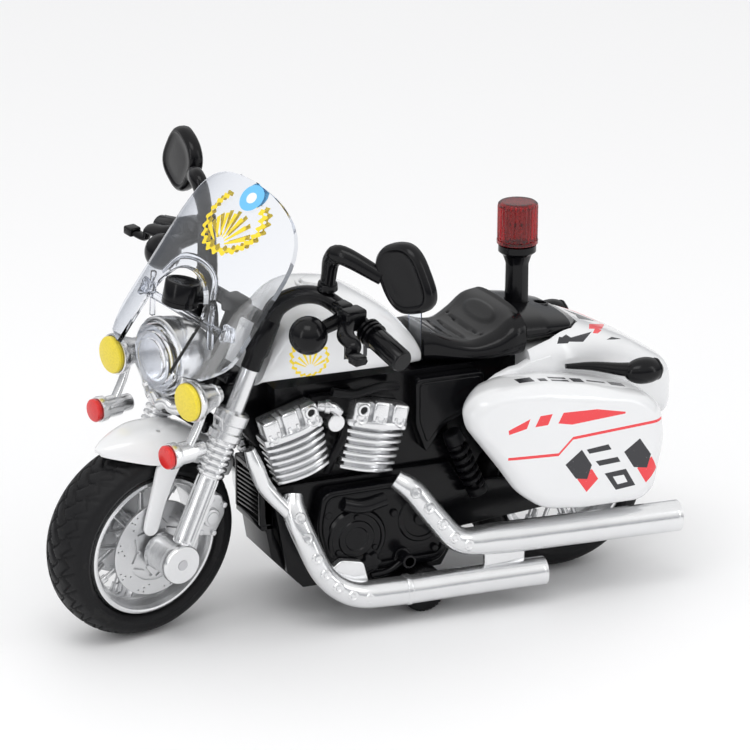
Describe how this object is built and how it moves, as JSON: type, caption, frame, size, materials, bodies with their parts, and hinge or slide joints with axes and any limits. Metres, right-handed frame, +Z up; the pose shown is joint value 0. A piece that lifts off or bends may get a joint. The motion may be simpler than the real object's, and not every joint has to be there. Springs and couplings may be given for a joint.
{
  "type": "wind-up toy motorcycle",
  "caption": "Pull-back toy touring motorcycle with steerable fork, clear windshield, lamps, engine, panniers, rear beacon and spring motor.",
  "frame": {"origin": "on the ground under the middle of the toy's bounding box", "axes": "+X forward, +Y to the rider's left, +Z up; the front end stands turned left by 15.7 degrees at rest, as it is posed"},
  "size_m": [0.1786, 0.1112, 0.1232],
  "materials": {
    "white_body": "gloss white moulding",
    "black_body": "gloss black moulding",
    "silver_body": "silver metallised plastic",
    "soft_tyre": "matt black soft tyre",
    "clear_body": "clear moulding",
    "yellow_face": "yellow moulding",
    "red_body": "clear red moulding",
    "steel_pin": "plated steel",
    "gear_nylon": "natural nylon",
    "grey_body": "grey moulding",
    "board": "green board",
    "film": "clear film"
  },
  "bodies": {
    "chassis": {"beacon_led": "clear_body", "beacon_lens": "red_body", "beacon_post": "black_body", "button_cells": "steel_pin", "circuit_board": "board", "engine_cover_left": "black_body", "engine_cover_right": "black_body", "engine_grille": "black_body", "exhaust_left": "silver_body", "exhaust_right": "silver_body", "frame_half_left": "black_body", "frame_half_right": "black_body", "front_cylinder_left": "silver_body", "front_cylinder_right": "silver_body", "fuel_tank": "white_body", "motor_case_left": "black_body", "motor_case_right": "black_body", "pannier_left": "white_body", "pannier_right": "white_body", "rear_cylinder_left": "silver_body", "rear_cylinder_right": "silver_body", "rear_fender": "white_body", "rear_shock_left": "black_body", "rear_shock_right": "black_body", "rear_signal_left": "black_body", "rear_signal_right": "black_body", "seat": "black_body", "seat_screw": "steel_pin", "speaker": "grey_body", "tail_cap": "black_body"},
    "front_end": {"steering_yoke": "black_body", "handlebar": "black_body", "headlight_shell": "silver_body", "headlight_lens": "clear_body", "lamp_bar": "silver_body", "windshield": "clear_body", "front_fender": "white_body", "fork_leg_left": "silver_body", "fork_leg_right": "silver_body", "mirror_left": "black_body", "mirror_right": "black_body", "spot_lens_left": "yellow_face", "spot_lens_right": "yellow_face", "red_lens_left": "red_body", "red_lens_right": "red_body"},
    "front_wheel": {"front_rim": "silver_body", "front_tyre": "soft_tyre", "front_axle": "steel_pin"},
    "rear_wheel": {"rear_rim": "silver_body", "rear_tyre": "soft_tyre", "rear_axle": "steel_pin"},
    "drive": {"drive_axle": "steel_pin", "drive_gear": "gear_nylon", "drive_roller_left": "soft_tyre", "drive_roller_right": "soft_tyre"},
    "idler": {"idler_gear": "gear_nylon"},
    "spring": {"spring_gear": "gear_nylon", "mainspring": "steel_pin"},
    "button": {"sound_button": "white_body"},
    "pull_tab": {"battery_pull_tab": "film"}
  },
  "joints": [
    {"name": "steering", "type": "hinge", "parent": "chassis", "child": "front_end", "pos_m": [0.06023, 0.002, 0.02596], "axis": [-0.3907, 0, 0.9205], "range_deg": [-33.7, 2.3]},
    {"name": "front_wheel_spin", "type": "hinge", "parent": "front_end", "child": "front_wheel", "pos_m": [0.06258, 0.00272, 0.02696], "axis": [-0.2491, 0.9627, -0.1057], "continuous": true},
    {"name": "rear_wheel_spin", "type": "hinge", "parent": "chassis", "child": "rear_wheel", "pos_m": [-0.05933, 0.002, 0.027], "axis": [0, 1, 0], "continuous": true},
    {"name": "drive_spin", "type": "hinge", "parent": "chassis", "child": "drive", "pos_m": [-0.01183, 0.002, 0.0063], "axis": [0, 1, 0], "continuous": true},
    {"name": "idler_spin", "type": "hinge", "parent": "chassis", "child": "idler", "pos_m": [-0.00494, 0.002, 0.01169], "axis": [0, 1, 0], "continuous": true},
    {"name": "spring_spin", "type": "hinge", "parent": "chassis", "child": "spring", "pos_m": [0.00838, 0.002, 0.0155], "axis": [0, 1, 0], "continuous": true},
    {"name": "sound_button", "type": "slide", "parent": "chassis", "child": "button", "axis": [0, 0, -1], "range_m": [0, 0.001], "stiffness_N_per_m": 400},
    {"name": "battery_pull_tab", "type": "slide", "parent": "chassis", "child": "pull_tab", "axis": [0, 0, 1], "range_m": [0, 0.015]}
  ],
  "couplings": [
    {"joint": "idler_spin", "follows": "drive_spin", "ratio": -0.45},
    {"joint": "spring_spin", "follows": "drive_spin", "ratio": 0.34615}
  ]
}
